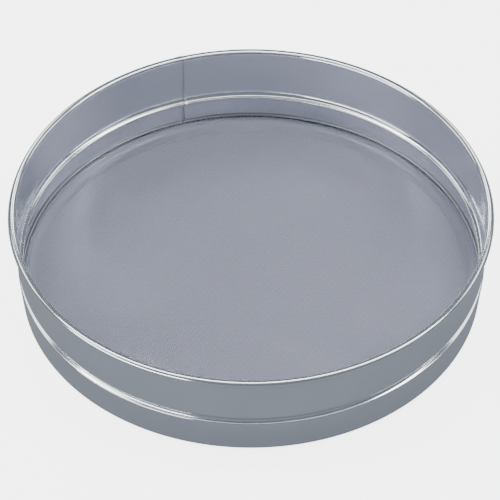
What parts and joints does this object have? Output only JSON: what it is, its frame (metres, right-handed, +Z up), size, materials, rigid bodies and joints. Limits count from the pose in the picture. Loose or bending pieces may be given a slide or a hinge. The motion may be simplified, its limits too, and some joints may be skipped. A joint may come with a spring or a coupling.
{
  "type": "soil sieve",
  "caption": "Round stainless steel sieve with a rolled rim, a pressed bead, a tapered skirt with a folded hem, and fine woven wire mesh held by a spring ring.",
  "frame": {"origin": "centre of the plane that the sieve stands on", "axes": "+Z up along the hoop's axis; the lapped seam is at the back left, 108 degrees round from +X towards +Y"},
  "size_m": [0.3, 0.3, 0.063],
  "materials": {
    "polished_sheet": "polished stainless sheet",
    "mesh_wire": "drawn stainless wire, woven",
    "ring_wire": "bright drawn stainless wire",
    "core_wire": "plain steel wire, hidden"
  },
  "bodies": {
    "root": {"frame_hoop": "polished_sheet", "rim_core_wire": "core_wire", "woven_mesh": "mesh_wire", "retaining_ring": "ring_wire"}
  },
  "joints": []
}
